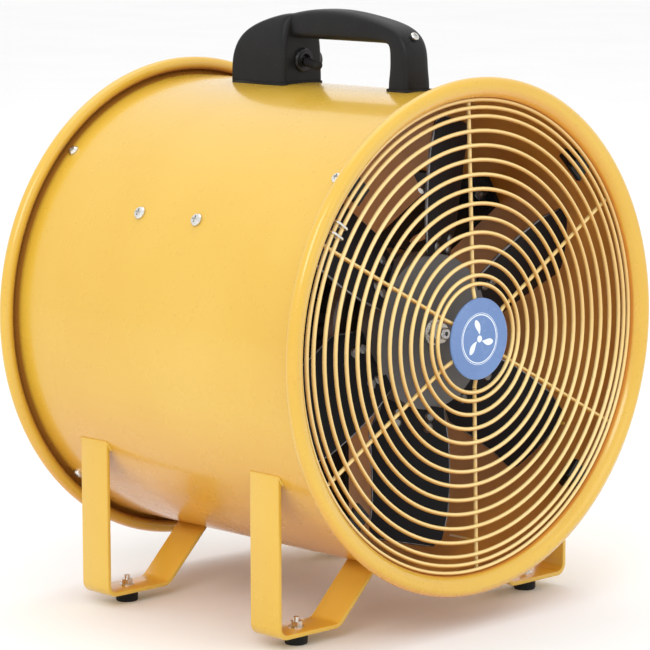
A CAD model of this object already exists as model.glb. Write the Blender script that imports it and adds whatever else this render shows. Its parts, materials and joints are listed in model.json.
import bpy
import bmesh
import json
import math
import random
from mathutils import Matrix, Vector


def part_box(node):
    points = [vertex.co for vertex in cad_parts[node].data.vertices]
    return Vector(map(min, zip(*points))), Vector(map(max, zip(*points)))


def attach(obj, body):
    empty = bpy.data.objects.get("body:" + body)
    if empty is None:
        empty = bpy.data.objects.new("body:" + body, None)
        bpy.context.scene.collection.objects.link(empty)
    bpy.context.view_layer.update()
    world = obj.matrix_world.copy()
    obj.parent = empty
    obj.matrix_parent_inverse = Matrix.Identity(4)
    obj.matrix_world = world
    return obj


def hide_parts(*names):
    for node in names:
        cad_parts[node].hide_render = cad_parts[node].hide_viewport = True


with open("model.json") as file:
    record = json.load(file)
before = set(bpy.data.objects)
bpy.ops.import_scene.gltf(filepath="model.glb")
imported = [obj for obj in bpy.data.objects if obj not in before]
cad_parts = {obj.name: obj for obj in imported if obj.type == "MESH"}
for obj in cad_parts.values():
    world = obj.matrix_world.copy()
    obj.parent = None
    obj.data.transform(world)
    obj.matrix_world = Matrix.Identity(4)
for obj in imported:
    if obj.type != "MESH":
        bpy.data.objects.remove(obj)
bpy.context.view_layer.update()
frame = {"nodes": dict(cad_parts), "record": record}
rng = random.Random(41)
scene = bpy.context.scene
coll = scene.collection
NODES = frame["nodes"]
MM = 0.001

# ------------------------------------------------------------------ camera

cam_data = bpy.data.cameras.new("camera")
cam = bpy.data.objects.new("camera", cam_data)
coll.objects.link(cam)
cam_data.sensor_width = 36.0
cam_data.lens = 177.10
cam_data.clip_end = 50.0
cam_data.clip_start = 0.05
cam_data.dof.use_dof = False
yaw, pitch, roll = math.radians(44.109), math.radians(8.615), math.radians(-0.140)
fwd = Vector((math.sin(yaw) * math.cos(pitch), math.cos(yaw) * math.cos(pitch), -math.sin(pitch)))
right0 = fwd.cross(Vector((0, 0, 1))).normalized()
up0 = right0.cross(fwd)
right = math.cos(roll) * right0 + math.sin(roll) * up0
up = -math.sin(roll) * right0 + math.cos(roll) * up0
m = Matrix((right, up, -fwd)).transposed().to_4x4()
m.translation = Vector((-1.456588, -1.501173, 0.499135))
cam.matrix_world = m
scene.camera = cam

# ------------------------------------------------------------------ geometry from the frame

barrel_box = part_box("barrel_shell")
rest_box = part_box("rubber_feet")
AX_H = (barrel_box[0][2] + barrel_box[1][2]) / 2          # height of the fan axis
RIM_R = (barrel_box[1][0] - barrel_box[0][0]) / 2         # outer radius of the bead
HALF = (barrel_box[1][1] - barrel_box[0][1]) / 2          # half length of the barrel
BORE_R = 0.152
SHEET = 0.0012
OUT_R = BORE_R + SHEET


def axis_pt(r, ang, z):
    """Point at radius r and angle ang (degrees, from +X seen from the outlet), z metres towards the outlet."""
    a = math.radians(ang)
    return Vector((r * math.cos(a), -z, AX_H + r * math.sin(a)))


# ------------------------------------------------------------------ materials

def new_mat(name):
    mt = bpy.data.materials.new(name)
    mt.use_nodes = True
    nt = mt.node_tree
    bsdf = nt.nodes["Principled BSDF"]
    return mt, nt, bsdf


def node(nt, kind, **kw):
    n = nt.nodes.new(kind)
    for k, v in kw.items():
        if k in n.inputs:
            n.inputs[k].default_value = v
        else:
            setattr(n, k, v)
    return n


def noise(nt, vec, scale, detail=4.0, rough=0.55, dist=0.0):
    n = nt.nodes.new("ShaderNodeTexNoise")
    n.inputs["Scale"].default_value = scale
    n.inputs["Detail"].default_value = detail
    n.inputs["Roughness"].default_value = rough
    n.inputs["Distortion"].default_value = dist
    nt.links.new(vec, n.inputs["Vector"])
    return n.outputs["Fac"]


def mapped(nt, scale=(1, 1, 1), rot=(0, 0, 0)):
    tc = nt.nodes.new("ShaderNodeTexCoord")
    mp = nt.nodes.new("ShaderNodeMapping")
    mp.inputs["Scale"].default_value = scale
    mp.inputs["Rotation"].default_value = rot
    nt.links.new(tc.outputs["Object"], mp.inputs["Vector"])
    return mp.outputs["Vector"]


def ramp(nt, fac, stops):
    r = nt.nodes.new("ShaderNodeValToRGB")
    el = r.color_ramp.elements
    while len(el) < len(stops):
        el.new(0.5)
    for e, (p, c) in zip(el, stops):
        e.position = p
        e.color = (c[0], c[1], c[2], 1.0)
    nt.links.new(fac, r.inputs["Fac"])
    return r.outputs["Color"]


def rng_map(nt, fac, a, b, lo, hi):
    r = nt.nodes.new("ShaderNodeMapRange")
    r.inputs["From Min"].default_value = a
    r.inputs["From Max"].default_value = b
    r.inputs["To Min"].default_value = lo
    r.inputs["To Max"].default_value = hi
    nt.links.new(fac, r.inputs["Value"])
    return r.outputs["Result"]


def mix_col(nt, fac, a, b):
    mx = nt.nodes.new("ShaderNodeMix")
    mx.data_type = "RGBA"
    if isinstance(fac, float):
        mx.inputs[0].default_value = fac
    else:
        nt.links.new(fac, mx.inputs[0])
    for i, c in ((6, a), (7, b)):
        if isinstance(c, tuple):
            mx.inputs[i].default_value = (c[0], c[1], c[2], 1.0)
        else:
            nt.links.new(c, mx.inputs[i])
    return mx.outputs[2]


def math_node(nt, op, a, b=0.0):
    mn = nt.nodes.new("ShaderNodeMath")
    mn.operation = op
    for i, v in ((0, a), (1, b)):
        if isinstance(v, (int, float)):
            mn.inputs[i].default_value = v
        else:
            nt.links.new(v, mn.inputs[i])
    return mn.outputs[0]


def bump_chain(nt, bsdf, layers, coat=False):
    """layers: (height socket, strength, distance in metres); chained into one normal."""
    last = None
    for h, strength, dist in layers:
        b = nt.nodes.new("ShaderNodeBump")
        b.inputs["Strength"].default_value = strength
        b.inputs["Distance"].default_value = dist
        nt.links.new(h, b.inputs["Height"])
        if last is not None:
            nt.links.new(last, b.inputs["Normal"])
        last = b.outputs["Normal"]
    nt.links.new(last, bsdf.inputs["Normal"])
    return last


def srgb(r, g, b):
    def f(c):
        c = c / 255.0
        return c / 12.92 if c <= 0.04045 else ((c + 0.055) / 1.055) ** 2.4
    return (f(r), f(g), f(b))


def facing_down(nt, a, b):
    """0 to 1 as the surface turns from normal z = a to normal z = b."""
    geo = nt.nodes.new("ShaderNodeNewGeometry")
    sep = nt.nodes.new("ShaderNodeSeparateXYZ")
    nt.links.new(geo.outputs["Normal"], sep.inputs[0])
    return rng_map(nt, sep.outputs[2], a, b, 0.0, 1.0)


def inside_barrel(nt):
    """1 on the bore of the barrel, 0 outside it."""
    tc = nt.nodes.new("ShaderNodeTexCoord")
    sep = nt.nodes.new("ShaderNodeSeparateXYZ")
    nt.links.new(tc.outputs["Object"], sep.inputs[0])
    dz = math_node(nt, "SUBTRACT", sep.outputs[2], AX_H)
    rr = math_node(nt, "ADD", math_node(nt, "MULTIPLY", sep.outputs[0], sep.outputs[0]), math_node(nt, "MULTIPLY", dz, dz))
    rad = math_node(nt, "SQRT", rr)
    return rng_map(nt, rad, 0.1528, 0.1523, 0.0, 1.0)


def rim_groove(nt):
    """1 in the groove behind each rolled rim, where dust and shade settle."""
    tc = nt.nodes.new("ShaderNodeTexCoord")
    sep = nt.nodes.new("ShaderNodeSeparateXYZ")
    nt.links.new(tc.outputs["Object"], sep.inputs[0])
    geo = nt.nodes.new("ShaderNodeNewGeometry")
    nsep = nt.nodes.new("ShaderNodeSeparateXYZ")
    nt.links.new(geo.outputs["Normal"], nsep.inputs[0])
    ay = math_node(nt, "ABSOLUTE", sep.outputs[1])
    sy = math_node(nt, "SIGN", sep.outputs[1])
    dz = math_node(nt, "SUBTRACT", sep.outputs[2], AX_H)
    rr = math_node(nt, "ADD", math_node(nt, "MULTIPLY", sep.outputs[0], sep.outputs[0]), math_node(nt, "MULTIPLY", dz, dz))
    rad = math_node(nt, "SQRT", rr)
    f1 = rng_map(nt, ay, 0.1295, 0.1335, 0.0, 1.0)
    f2 = rng_map(nt, rad, 0.1615, 0.1575, 0.0, 1.0)
    f3 = rng_map(nt, math_node(nt, "MULTIPLY", nsep.outputs[1], sy), 0.2, -0.1, 0.0, 1.0)
    return math_node(nt, "MULTIPLY", math_node(nt, "MULTIPLY", f1, f2), f3)


def paint(name, base, deep, light, rough, peel=1.0, wave=0.0, coat=0.25, shade=None, bore=None, spec=0.5):
    """Powder coat on sheet steel: colour drift, orange peel, faint scuffs, worn specks."""
    mt, nt, bsdf = new_mat(name)
    vec = mapped(nt)
    drift = noise(nt, vec, 7.0, 3.0, 0.5)
    col = ramp(nt, drift, [(0.3, deep), (0.5, base), (0.72, light)])
    speck = noise(nt, vec, 260.0, 2.0, 0.5)
    speck_f = rng_map(nt, speck, 0.66, 0.74, 0.0, 0.22)
    col = mix_col(nt, speck_f, col, (deep[0] * 0.75, deep[1] * 0.68, deep[2] * 0.6))
    scuff_vec = mapped(nt, (14, 140, 30), (0.2, 0.4, 0.3))
    scuff = noise(nt, scuff_vec, 1.0, 5.0, 0.6, 0.4)
    scuff_f = rng_map(nt, scuff, 0.71, 0.80, 0.0, 0.22)
    col = mix_col(nt, scuff_f, col, (min(1, light[0] * 1.06), min(1, light[1] * 1.1), min(1, light[2] * 1.5)))
    if shade:
        col = mix_col(nt, facing_down(nt, shade[0], shade[1]), col, shade[2])
    if bore:
        col = mix_col(nt, rim_groove(nt), col, (0.36, 0.14, 0.02))
    inner = None
    if bore:
        inner = inside_barrel(nt)
        grime = mix_col(nt, rng_map(nt, noise(nt, vec, 16.0, 5.0, 0.6), 0.35, 0.7, 0.0, 1.0), bore[0], bore[1])
        col = mix_col(nt, inner, col, grime)
        nt.links.new(rng_map(nt, inner, 0.0, 1.0, coat, 0.0), bsdf.inputs["Coat Weight"])
    nt.links.new(col, bsdf.inputs["Base Color"])
    r1 = noise(nt, vec, 22.0, 4.0, 0.6)
    rr = math_node(nt, "ADD", rng_map(nt, r1, 0.25, 0.75, rough - 0.05, rough + 0.07), math_node(nt, "MULTIPLY", scuff_f, 0.35))
    if inner is not None:
        rr = math_node(nt, "ADD", rr, math_node(nt, "MULTIPLY", inner, 0.22))
    nt.links.new(rr, bsdf.inputs["Roughness"])
    layers = []
    if wave > 0:
        wv = mapped(nt, (5.0, 1.2, 5.0))
        layers.append((noise(nt, wv, 1.6, 2.0, 0.5), wave, 0.004))
    layers.append((noise(nt, vec, 620.0, 2.0, 0.5), 0.16 * peel, 0.0002))
    layers.append((noise(nt, vec, 2600.0, 1.0, 0.5), 0.05 * peel, 0.00005))
    bump_chain(nt, bsdf, layers)
    if not bore:
        bsdf.inputs["Coat Weight"].default_value = coat
    bsdf.inputs["Coat Roughness"].default_value = 0.10
    bsdf.inputs["Specular IOR Level"].default_value = spec
    return mt


def plastic(name, base, light, rough, grain=900.0, strength=0.25, spec=0.45):
    """Moulded plastic: fine spark-eroded grain, faint flow marks, handling shine."""
    mt, nt, bsdf = new_mat(name)
    vec = mapped(nt)
    big = noise(nt, vec, 30.0, 4.0, 0.6)
    col = ramp(nt, big, [(0.35, base), (0.7, light)])
    dust = noise(nt, vec, 700.0, 2.0, 0.6)
    dust_f = rng_map(nt, dust, 0.68, 0.8, 0.0, 0.12)
    col = mix_col(nt, dust_f, col, (0.30, 0.29, 0.27))
    nt.links.new(col, bsdf.inputs["Base Color"])
    rr = rng_map(nt, noise(nt, vec, 14.0, 5.0, 0.65), 0.3, 0.7, rough - 0.08, rough + 0.1)
    nt.links.new(rr, bsdf.inputs["Roughness"])
    vor = nt.nodes.new("ShaderNodeTexVoronoi")
    vor.inputs["Scale"].default_value = grain
    nt.links.new(vec, vor.inputs["Vector"])
    bump_chain(nt, bsdf, [(noise(nt, vec, 45.0, 3.0), 0.06, 0.0006), (vor.outputs["Distance"], strength, 0.00012)])
    bsdf.inputs["Specular IOR Level"].default_value = spec
    return mt


def metal(name, base, dark, rough, brush=(900, 900, 60), strength=0.12, plate=False):
    """Plated or ground steel: brushed grain, cloudy plating, spots of tarnish."""
    mt, nt, bsdf = new_mat(name)
    bsdf.inputs["Metallic"].default_value = 1.0
    vec = mapped(nt)
    cloud = noise(nt, vec, 90.0, 4.0, 0.6)
    col = ramp(nt, cloud, [(0.3, dark), (0.62, base)])
    tarn = rng_map(nt, noise(nt, vec, 420.0, 3.0), 0.64, 0.76, 0.0, 0.4)
    col = mix_col(nt, tarn, col, (dark[0] * 0.55, dark[1] * 0.5, dark[2] * 0.42))
    nt.links.new(col, bsdf.inputs["Base Color"])
    g = noise(nt, mapped(nt, brush), 1.0, 3.0, 0.6)
    rr = rng_map(nt, g, 0.25, 0.75, rough - 0.08, rough + 0.14)
    nt.links.new(rr, bsdf.inputs["Roughness"])
    bump_chain(nt, bsdf, [(g, strength, 0.00006), (cloud, 0.08, 0.0002)])
    return mt


def rubber(name, base, light, rough=0.75):
    mt, nt, bsdf = new_mat(name)
    vec = mapped(nt)
    col = ramp(nt, noise(nt, vec, 120.0, 4.0, 0.6), [(0.35, base), (0.75, light)])
    bloom = rng_map(nt, noise(nt, vec, 35.0, 3.0), 0.55, 0.8, 0.0, 0.25)
    col = mix_col(nt, bloom, col, (0.11, 0.108, 0.1))
    nt.links.new(col, bsdf.inputs["Base Color"])
    nt.links.new(rng_map(nt, noise(nt, vec, 60.0, 4.0), 0.3, 0.7, rough - 0.1, rough + 0.1), bsdf.inputs["Roughness"])
    bump_chain(nt, bsdf, [(noise(nt, vec, 1500.0, 2.0), 0.25, 0.0001), (noise(nt, vec, 150.0, 3.0), 0.1, 0.0003)])
    bsdf.inputs["Specular IOR Level"].default_value = 0.3
    return mt


M = {}
M["barrel_paint"] = paint("barrel_paint", (0.690, 0.420, 0.040), (0.672, 0.392, 0.033), (0.712, 0.446, 0.056), 0.27, 0.35, 0.05, 0.55,
                          shade=(-0.25, -0.95, (0.68, 0.29, 0.030)), bore=((0.60, 0.235, 0.028), (0.50, 0.18, 0.02)))
M["guard_paint"] = paint("guard_paint", (0.86, 0.65, 0.26), (0.83, 0.60, 0.22), (0.89, 0.70, 0.32), 0.30, 0.6, 0.0, 0.3,
                         shade=(0.15, -0.45, (0.50, 0.23, 0.035)))
M["black_moulding"] = plastic("black_moulding", (0.010, 0.010, 0.0105), (0.015, 0.015, 0.0155), 0.40, 1100.0, 0.16, 0.17)
M["black_clip"] = plastic("black_clip", (0.008, 0.008, 0.008), (0.013, 0.013, 0.013), 0.38, 1300.0, 0.15, 0.15)
M["dark_fitting"] = plastic("dark_fitting", (0.010, 0.010, 0.011), (0.016, 0.016, 0.017), 0.34, 1400.0, 0.12, 0.3)
M["beige_insulator"] = plastic("beige_insulator", (0.62, 0.58, 0.48), (0.70, 0.66, 0.56), 0.45, 1200.0, 0.1)
M["rubber"] = rubber("rubber", (0.008, 0.008, 0.008), (0.016, 0.016, 0.015))
M["zinc"] = metal("zinc", (0.78, 0.77, 0.74), (0.62, 0.61, 0.58), 0.26)
M["bright_steel"] = metal("bright_steel", (0.66, 0.66, 0.66), (0.5, 0.5, 0.5), 0.22, (60, 900, 900))
M["motor_paint"] = paint("motor_paint", (0.018, 0.018, 0.020), (0.013, 0.013, 0.014), (0.026, 0.026, 0.028), 0.45, 1.0, 0.0, 0.0, spec=0.14)
M["bracket_paint"] = paint("bracket_paint", (0.017, 0.017, 0.018), (0.012, 0.012, 0.013), (0.026, 0.026, 0.027), 0.42, 1.0, 0.0, 0.0, spec=0.12)
M["blade_paint"] = paint("blade_paint", (0.012, 0.0115, 0.013), (0.008, 0.008, 0.009), (0.016, 0.0155, 0.017), 0.42, 0.8, 0.0, 0.0, spec=0.10)
M["hub_grey"] = paint("hub_grey", (0.13, 0.127, 0.128), (0.10, 0.097, 0.098), (0.17, 0.165, 0.165), 0.44, 1.0, 0.0, 0.0, spec=0.35)
M["end_bell_cast"] = metal("end_bell_cast", (0.34, 0.34, 0.35), (0.22, 0.22, 0.23), 0.5, (200, 200, 200), 0.3)
M["lamination"] = metal("lamination", (0.25, 0.25, 0.26), (0.14, 0.14, 0.15), 0.45, (40, 1800, 40), 0.3)
M["copper"] = metal("copper", (0.72, 0.31, 0.13), (0.45, 0.16, 0.06), 0.35, (60, 1500, 60), 0.4)


def badge_material():
    mt, nt, bsdf = new_mat("badge_blue")
    vec = mapped(nt)
    col = ramp(nt, noise(nt, vec, 18.0, 3.0), [(0.3, srgb(86, 119, 172)), (0.7, srgb(102, 133, 184))])
    haze = rng_map(nt, noise(nt, vec, 300.0, 3.0), 0.6, 0.8, 0.0, 0.15)
    col = mix_col(nt, haze, col, srgb(190, 208, 235))
    nt.links.new(col, bsdf.inputs["Base Color"])
    nt.links.new(rng_map(nt, noise(nt, vec, 50.0, 4.0), 0.3, 0.7, 0.22, 0.38), bsdf.inputs["Roughness"])
    bump_chain(nt, bsdf, [(noise(nt, vec, 900.0, 2.0), 0.06, 0.0001)])
    bsdf.inputs["Coat Weight"].default_value = 0.3
    return mt


M["badge_blue"] = badge_material()

for sp in frame["record"]["subparts"]:
    ob = NODES[sp["node"]]
    mt = M[sp["material_slot"]]
    if not ob.material_slots:
        ob.data.materials.append(mt)
    for s in ob.material_slots:
        s.material = mt


M["dark_steel"] = metal("dark_steel", (0.26, 0.255, 0.25), (0.12, 0.118, 0.115), 0.34)
for nm_ in ("blade_rivets", "bracket_motor_bolts", "bracket_wall_nuts", "end_bell_screws"):
    for sl_ in NODES[nm_].material_slots:
        sl_.material = M["dark_steel"]
M["leg_paint"] = paint("leg_paint", (0.715, 0.445, 0.050), (0.690, 0.415, 0.042), (0.735, 0.470, 0.064), 0.30, 0.4, 0.0, 0.4, shade=(0.35, 0.75, (0.78, 0.43, 0.045)))
M["badge_ink"] = paint("badge_ink", (0.80, 0.86, 0.93), (0.72, 0.79, 0.88), (0.86, 0.90, 0.96), 0.35, 0.3, 0.0, 0.0)
M["blade_edge"] = metal("blade_edge", (0.34, 0.34, 0.35), (0.10, 0.10, 0.105), 0.34, (300, 300, 300), 0.2)

# ------------------------------------------------------------------ mesh helpers

def add_obj(name, verts, faces, mat, body, replace=(), smooth=True, subsurf=0, bevel=0.0, weld=True):
    me = bpy.data.meshes.new(name)
    bm = bmesh.new()
    vs = [bm.verts.new(v) for v in verts]
    bm.verts.ensure_lookup_table()
    for f in faces:
        try:
            bm.faces.new([vs[i] for i in f])
        except ValueError:
            pass
    if weld:
        bmesh.ops.remove_doubles(bm, verts=bm.verts, dist=1e-7)
    bmesh.ops.recalc_face_normals(bm, faces=bm.faces)
    for f in bm.faces:
        f.smooth = smooth
    bm.to_mesh(me)
    bm.free()
    ob = bpy.data.objects.new(name, me)
    coll.objects.link(ob)
    me.materials.append(mat)
    if bevel > 0:
        bv = ob.modifiers.new("bevel", "BEVEL")
        bv.width = bevel
        bv.segments = 3
        bv.limit_method = "ANGLE"
        bv.angle_limit = math.radians(35)
        bv.harden_normals = False
    if subsurf:
        ss = ob.modifiers.new("subsurf", "SUBSURF")
        ss.levels = subsurf
        ss.render_levels = subsurf
    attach(ob, body)
    if replace:
        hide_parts(*replace)
    return ob


def loft(rings, cap_start=True, cap_end=True, closed=False):
    """Faces between successive rings of equal length."""
    verts, faces = [], []
    n = len(rings[0])
    for r in rings:
        verts.extend(r)
    m_ = len(rings)
    last = m_ if closed else m_ - 1
    for i in range(last):
        a, b = i * n, ((i + 1) % m_) * n
        for j in range(n):
            k = (j + 1) % n
            faces.append((a + j, a + k, b + k, b + j))
    if not closed and cap_start:
        faces.append(tuple(range(n - 1, -1, -1)))
    if not closed and cap_end:
        faces.append(tuple(range((m_ - 1) * n, m_ * n)))
    return verts, faces


def join(*parts):
    verts, faces = [], []
    for v, f in parts:
        o = len(verts)
        verts.extend(v)
        faces.extend(tuple(i + o for i in q) for q in f)
    return verts, faces


def round_rect_pts(w, h, r, seg=4):
    """Rectangle w by h, centred, with corner radius r, anticlockwise."""
    pts = []
    for cx, cy, a0 in ((w / 2 - r, h / 2 - r, 0), (-w / 2 + r, h / 2 - r, 90), (-w / 2 + r, -h / 2 + r, 180), (w / 2 - r, -h / 2 + r, 270)):
        for k in range(seg + 1):
            a = math.radians(a0 + 90 * k / seg)
            pts.append((cx + r * math.cos(a), cy + r * math.sin(a)))
    return pts


def lathe(profile, place, n=96):
    """profile: list of (radius, height); place(r, angle, h) gives the point."""
    rings = []
    for k in range(n):
        a = 360.0 * k / n
        rings.append([place(r, a, h) for r, h in profile])
    return rings


def lathe_mesh(profile, place, n=96):
    rings = lathe(profile, place, n)
    verts, faces = [], []
    p = len(profile)
    for r in rings:
        verts.extend(r)
    for i in range(n):
        a, b = i * p, ((i + 1) % n) * p
        for j in range(p - 1):
            faces.append((a + j, a + j + 1, b + j + 1, b + j))
    return verts, faces


def tube_pts(path, radius, seg=10, wobble=0.0, taper=True):
    """Round bead along a list of points, with rounded ends; radius varies a little."""
    rings = []
    n = len(path)
    for i, p in enumerate(path):
        t = (path[min(i + 1, n - 1)] - path[max(i - 1, 0)]).normalized()
        ref = Vector((0, 0, 1)) if abs(t.z) < 0.9 else Vector((1, 0, 0))
        u = t.cross(ref).normalized()
        v = t.cross(u)
        f = 1.0
        if taper:
            e = min(i, n - 1 - i) / 2.0
            f = min(1.0, 0.35 + 0.65 * min(1.0, e))
        rr = radius * f * (1 + wobble * (rng.random() - 0.5))
        rings.append([p + u * rr * math.cos(2 * math.pi * k / seg) + v * rr * math.sin(2 * math.pi * k / seg) for k in range(seg)])
    return loft(rings)


# ------------------------------------------------------------------ carrying handle

SEAT_R = 0.1548


def seat_z(x):
    return AX_H + math.sqrt(SEAT_R ** 2 - x * x)


box_rings = []
# height (negative: above the seat), half width, rear end, front end, corner radius (mm)
for z, hw, yr, yf, cr in (
        (-0.01, 17.0, 71.9, 22.5, 2.2), (-0.01, 17.9, 72.8, 21.6, 2.9), (-0.05, 18.0, 73.0, 21.4, 3.0), (-0.9, 18.0, 73.0, 21.4, 3.0), (346.0, 17.95, 73.0, 21.4, 3.0),
        (350.0, 17.9, 72.9, 21.4, 3.0), (355.0, 17.9, 72.6, 21.45, 3.1),
        (360.0, 17.85, 71.7, 21.5, 3.4), (366.0, 17.7, 69.4, 21.5, 4.0), (371.0, 17.4, 65.9, 21.5, 4.6),
        (375.5, 16.8, 60.9, 21.5, 5.2), (379.6, 15.8, 53.6, 21.3, 5.8), (383.0, 14.3, 45.0, 20.8, 6.2),
        (385.7, 12.2, 35.6, 19.6, 6.2), (387.4, 9.4, 27.4, 17.5, 4.4)):
    pts = round_rect_pts(2 * hw, yr - yf, cr, 5)
    ring = []
    for px_, py_ in pts:
        x = px_ * MM
        y = ((yr + yf) / 2 + py_) * MM
        ring.append(Vector((x, y, seat_z(x) - z * MM if z < 0 else z * MM)))
    box_rings.append(ring)
box_part = loft(box_rings)


def sup(theta, a, b, e):
    c, s = math.cos(theta), math.sin(theta)
    return (a * math.copysign(abs(c) ** (2 / e), c), b * math.copysign(abs(s) ** (2 / e), s))


grip_rings = []
# outer point (Y, Z), inner point (Y, Z), half width
stations = (
    ((34, 385.2), (34, 372.4), 10.0), ((27, 386.9), (27, 371.2), 10.9), ((21, 388.2), (21, 371.0), 11.0), ((10, 390.1), (10, 371.0), 11.0),
    ((-5, 391.2), (-5, 371.0), 11.0), ((-20, 391.0), (-20, 371.0), 11.0), ((-35, 389.4), (-35, 371.0), 11.0),
    ((-48, 387.3), (-47, 371.0), 11.0), ((-59, 385.2), (-56, 371.0), 11.0), ((-67.5, 382.9), (-62.2, 370.9), 11.0),
    ((-74.5, 379.9), (-64.8, 370.5), 11.0), ((-80, 375.6), (-66.1, 369.4), 11.0), ((-83.6, 370), (-66.6, 367.2), 11.0),
    ((-85.2, 363), (-66.7, 362.5), 11.0), ((-85.5, 355), (-66.7, 355), 11.0), ((-85.6, 348), (-66.5, 348), 11.1),
    ((-85.7, -0.9), (-66.4, -0.9), 11.2), ((-85.7, -0.05), (-66.4, -0.05), 11.2), ((-85.6, -0.01), (-66.5, -0.01), 11.1),
    ((-85.0, -0.01), (-67.1, -0.01), 10.4))
for (oy, oz), (iy, iz), hw in stations:
    ring = []
    for k in range(28):
        th = 2 * math.pi * (k + 0.5) / 28
        sx, sv = sup(th, 1.0, 1.0, 3.8 if oz > 350 else 5.5)
        t = (sv + 1) / 2
        x = sx * hw * MM
        y = (iy + (oy - iy) * t) * MM
        if oz < 0:
            z = seat_z(x) - oz * MM
        else:
            z = (iz + (oz - iz) * t) * MM
        ring.append(Vector((x, y, z)))
    grip_rings.append(ring)
grip_part = loft(grip_rings)
hv, hf = join(box_part, grip_part)
handle = add_obj("handle_moulding", hv, hf, M["black_moulding"], "housing", ("handle_shell",), subsurf=2, weld=False)
handle.modifiers["subsurf"].render_levels = 2

# ------------------------------------------------------------------ legs

def leg_path():
    pts = []
    for z in (112.4, 104, 92, 78, 64, 50, 36, 24, 15.5):
        pts.append((132.0, z))
    for k in range(1, 9):
        a = math.radians(90.0 * k / 8)
        pts.append((125.5 + 6.5 * math.cos(a), 15.5 - 6.5 * math.sin(a)))
    for x in (118, 106.4, 95, 84.2):
        pts.append((x, 9.0))
    for k in range(1, 7):
        a = math.radians(45.0 * k / 6)
        pts.append((84.2 - 8.5 * math.sin(a), 17.5 - 8.5 * math.cos(a)))
    x0, z0 = pts[-1]
    s = 0.0
    while True:
        s += 1.0
        if math.hypot(x0 - s, z0 + s - 188.2) <= 153.0:
            break
    for k in range(1, 5):
        pts.append((x0 - s * k / 4, z0 + s * k / 4))
    return pts


def strap(sign_x, cy):
    path = leg_path()
    sec = round_rect_pts(26.0, 3.0, 0.75, 3)     # across the strap, through its thickness
    rings = []
    n = len(path)
    for i, (x, z) in enumerate(path):
        ax, az = path[max(i - 1, 0)]
        bx, bz = path[min(i + 1, n - 1)]
        tx, tz = bx - ax, bz - az
        ln = math.hypot(tx, tz)
        nx, nz = -tz / ln, tx / ln
        k = 1.0
        if i in (0,):
            k = 0.955
        ring = []
        for a, b in sec:
            ring.append(Vector((sign_x * (x + nx * b * k) * MM, cy + a * k * MM, (z + nz * b * k) * MM)))
        rings.append(ring)
        if i == 0:
            full = [Vector((sign_x * (x + nx * b) * MM, cy + a * MM, (z - 0.8 + nz * b) * MM)) for a, b in sec]
            rings.append(full)
    return loft(rings), path


def weld_bead(sign_x, cy, path):
    """Fillet weld where the inclined strap meets the barrel, and down both edges of the upright."""
    parts = []
    ex, ez = path[-1]
    pts = []
    for k in range(27):
        y = cy + (-12.4 + 24.8 * k / 26) * MM
        pts.append(Vector((sign_x * (ex + 1.1) * MM, y, (ez - 2.0) * MM)))
    parts.append(tube_pts(pts, 0.0014, 8, 0.35))
    for side in (-1, 1):
        pts = []
        for k in range(19):
            z = 111.8 - 6.0 * k / 18
            r_x = math.sqrt(max(0.0, 153.2 ** 2 - (z - 188.2) ** 2))
            pts.append(Vector((sign_x * (min(r_x, 132.6) + 0.1) * MM, cy + side * 13.1 * MM, z * MM)))
        parts.append(tube_pts(pts, 0.0011, 8, 0.35))
    return join(*parts)


LEGS = {"leg_front_left": (-1, -1), "leg_front_right": (1, -1), "leg_rear_left": (-1, 1), "leg_rear_right": (1, 1)}
for nm, (sx_, sy_) in LEGS.items():
    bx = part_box(nm)
    cy = (bx[0][1] + bx[1][1]) / 2
    (v, f), path = strap(sx_, cy)
    add_obj("strap_" + nm, v, f, M["leg_paint"], "housing", (nm,))
    v, f = weld_bead(sx_, cy, path)
    add_obj("weld_" + nm, v, f, M["leg_paint"], "housing", ())

# ------------------------------------------------------------------ badge: disc, white ring and a plain propeller sign

badge_z = 0.1371


def on_badge(r, a, h):
    return axis_pt(r, a, badge_z + h)


prof = [(0.0, 0.0), (0.0258, 0.0), (0.02605, 0.0002), (0.0261, 0.0006), (0.0261, 0.0010), (0.02585, 0.00135), (0.0254, 0.00155), (0.0246, 0.00160), (0.0242, 0.00152), (0.0236, 0.00145), (0.0, 0.00145)]
v, f = lathe_mesh(prof, on_badge, 96)
badge = add_obj("badge_disc", v, f, M["badge_blue"], "housing", ("guard_badge",))


def flat_ring(r0, r1, h0, h1, n=96):
    return lathe_mesh([(r0, h0), (r0, h1), (r1, h1), (r1, h0)], on_badge, n)


def propeller(cx, cy, size, h0, h1):
    """Three-bladed propeller sign; outline points round each blade."""
    parts = []
    for k in range(3):
        a0 = 90 + 120 * k
        outline = []
        for t in [i / 14 for i in range(15)]:
            r = size * (0.24 + 0.76 * t)
            w = 0.30 * math.sin(math.pi * min(1, t * 0.93 + 0.06)) ** 0.7
            ang = math.radians(a0 + 16 * t) + w
            outline.append((cx + r * math.cos(ang), cy + r * math.sin(ang)))
        for t in [i / 14 for i in range(14, -1, -1)]:
            r = size * (0.24 + 0.76 * t)
            w = 0.22 * math.sin(math.pi * min(1, t * 0.93 + 0.06)) ** 0.7
            ang = math.radians(a0 + 16 * t) - w
            outline.append((cx + r * math.cos(ang), cy + r * math.sin(ang)))
        low = [Vector((x, -(badge_z + h0), AX_H + y)) for x, y in outline]
        high = [Vector((x, -(badge_z + h1), AX_H + y)) for x, y in outline]
        parts.append(loft([low, high]))
    return join(*parts)


ink = join(flat_ring(0.0150, 0.0157, 0.00143, 0.00151), flat_ring(0.0163, 0.0166, 0.00143, 0.00151),
           flat_ring(0.0, 0.0022, 0.00143, 0.00152, 32), propeller(0.0, 0.0, 0.0128, 0.00143, 0.00151))
add_obj("badge_print", ink[0], ink[1], M["badge_ink"], "housing", (), smooth=False)

# ------------------------------------------------------------------ guard details: weld spots and wire bends

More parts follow.
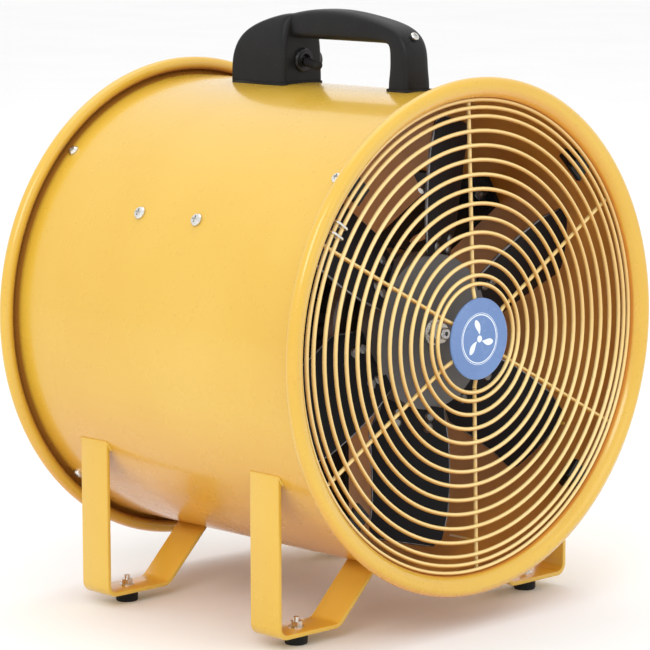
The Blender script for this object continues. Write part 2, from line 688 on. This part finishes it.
rings_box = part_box("front_guard_rings")
RING_R = [0.0346, 0.0400] + [0.0488 + 0.00914 * n for n in range(11)] + [0.1457, 0.1505]
SPOKES = [31, 91, 151.5, 211.5, 272.5, 332]


def ring_h(r):
    return 0.1327 + 0.0032 * (1 - r / 0.151)


def nugget(center, ax_r, ax_t, ax_n, a, b, c, seg=8):
    rings = []
    for i in range(1, 5):
        ph = math.pi * i / 5
        rings.append([center + ax_r * (a * math.sin(ph) * math.cos(2 * math.pi * k / seg)) + ax_t * (b * math.sin(ph) * math.sin(2 * math.pi * k / seg)) + ax_n * (c * math.cos(ph)) for k in range(seg)])
    return loft(rings)


for face, sgn in (("front", 1), ("rear", -1)):
    parts = []
    for s_a in SPOKES:
        a = math.radians(s_a)
        er = Vector((math.cos(a), 0, math.sin(a)))
        et = Vector((-math.sin(a), 0, math.cos(a)))
        en = Vector((0, -sgn, 0))
        for r in RING_R:
            h = ring_h(r)
            if r < 0.032:
                continue
            c = axis_pt(r, s_a, sgn * (h - 0.00125))
            j = 1 + 0.2 * (rng.random() - 0.5)
            parts.append(nugget(c, er, et, en, 0.0017 * j, 0.0017 * j, 0.0013))
    v, f = join(*parts)
    add_obj("guard_welds_" + face, v, f, M["guard_paint"], "housing", ())

# ------------------------------------------------------------------ blade edges: worn, bright leading edges

BOUT = [(47, 20), (69, 28), (91, 33), (113, 36), (131, 35), (136, 29)]
BOUT_T = [(47, -21), (69, -27), (91, -22), (113, -18), (131, -17), (136, -13)]
B_A0, B_P, B_Z, CAMB = 17.0, 24.0, 92.0, 130.0


def blade_pt(i, x, y, lift=0.0):
    z = math.sqrt(CAMB ** 2 - y * y) - CAMB + 0.9 + lift
    p = math.radians(B_P)
    y2, z2 = y * math.cos(p) - z * math.sin(p), y * math.sin(p) + z * math.cos(p) + B_Z
    a = math.radians(B_A0 + 60 * i)
    return Vector(((x * math.cos(a) - y2 * math.sin(a)) * MM, -z2 * MM, AX_H + (x * math.sin(a) + y2 * math.cos(a)) * MM))


def resample(line, step):
    out = []
    for (x0, y0), (x1, y1) in zip(line, line[1:]):
        n = max(1, int(math.hypot(x1 - x0, y1 - y0) / step))
        for k in range(n):
            out.append((x0 + (x1 - x0) * k / n, y0 + (y1 - y0) * k / n))
    out.append(line[-1])
    return out


parts = []
for i in range(6):
    for line, rad in ((BOUT[:5], 0.00098), (BOUT_T[:5], 0.00092)):
        pts = [blade_pt(i, x, y) for x, y in resample(line, 4.0)]
        parts.append(tube_pts(pts, rad, 8, 0.06))
    tip = [BOUT[4], BOUT[5], BOUT_T[5], BOUT_T[4]]
    pts = [blade_pt(i, x, y) for x, y in resample(tip, 4.0)]
    parts.append(tube_pts(pts, 0.00095, 8, 0.06))
v, f = join(*parts)
add_obj("blade_rolled_edges", v, f, M["blade_edge"], "impeller", ())

# ------------------------------------------------------------------ barrel details: lap seam and dressed rim joints

parts = []
pts = [axis_pt(0.15345, 268.2, (-128 + 256 * k / 128) * MM) for k in range(129)]
parts.append(tube_pts(pts, 0.0011, 8, 0.12))
v, f = join(*parts)
add_obj("barrel_seam", v, f, M["barrel_paint"], "housing", ())

# ------------------------------------------------------------------ stage and light

def stage_material():
    mt, nt, bsdf = new_mat("stage_white")
    vec = mapped(nt)
    col = ramp(nt, noise(nt, vec, 3.0, 3.0), [(0.3, (0.90, 0.90, 0.90)), (0.7, (0.92, 0.92, 0.92))])
    nt.links.new(col, bsdf.inputs["Base Color"])
    bsdf.inputs["Roughness"].default_value = 0.9
    bsdf.inputs["Specular IOR Level"].default_value = 0.1
    return mt


floor_mesh = bpy.data.meshes.new("floor")
floor_mesh.from_pydata([(-9, -9, 0), (9, -9, 0), (9, 9, 0), (-9, 9, 0)], [], [(0, 1, 2, 3)])
floor_ob = bpy.data.objects.new("floor", floor_mesh)
floor_mesh.materials.append(stage_material())
coll.objects.link(floor_ob)

world = bpy.data.worlds.new("studio")
scene.world = world
world.use_nodes = True
bg = world.node_tree.nodes["Background"]
bg.inputs["Color"].default_value = (1.0, 1.0, 1.0, 1.0)
bg.inputs["Strength"].default_value = 1.05


def area(name, loc, target, size, power, col=(1, 1, 1), size_y=None):
    d = bpy.data.lights.new(name, "AREA")
    d.energy = power
    d.size = size
    if size_y:
        d.shape = "RECTANGLE"
        d.size_y = size_y
    d.color = col
    o = bpy.data.objects.new(name, d)
    coll.objects.link(o)
    o.location = loc
    o.rotation_euler = (Vector(target) - Vector(loc)).to_track_quat("-Z", "Y").to_euler()
    return o


area("key", (-2.6, -1.6, 2.2), (0, 0, 0.2), 1.6, 34)
area("front_fill", (0.6, -3.0, 1.2), (0, 0, 0.2), 1.6, 5)
area("top_soft", (0.2, 0.4, 2.8), (0, 0, 0.2), 2.2, 16)

scene.view_settings.view_transform = "Standard"
scene.view_settings.look = "None"
scene.view_settings.exposure = 0.0
scene.view_settings.gamma = 1.0
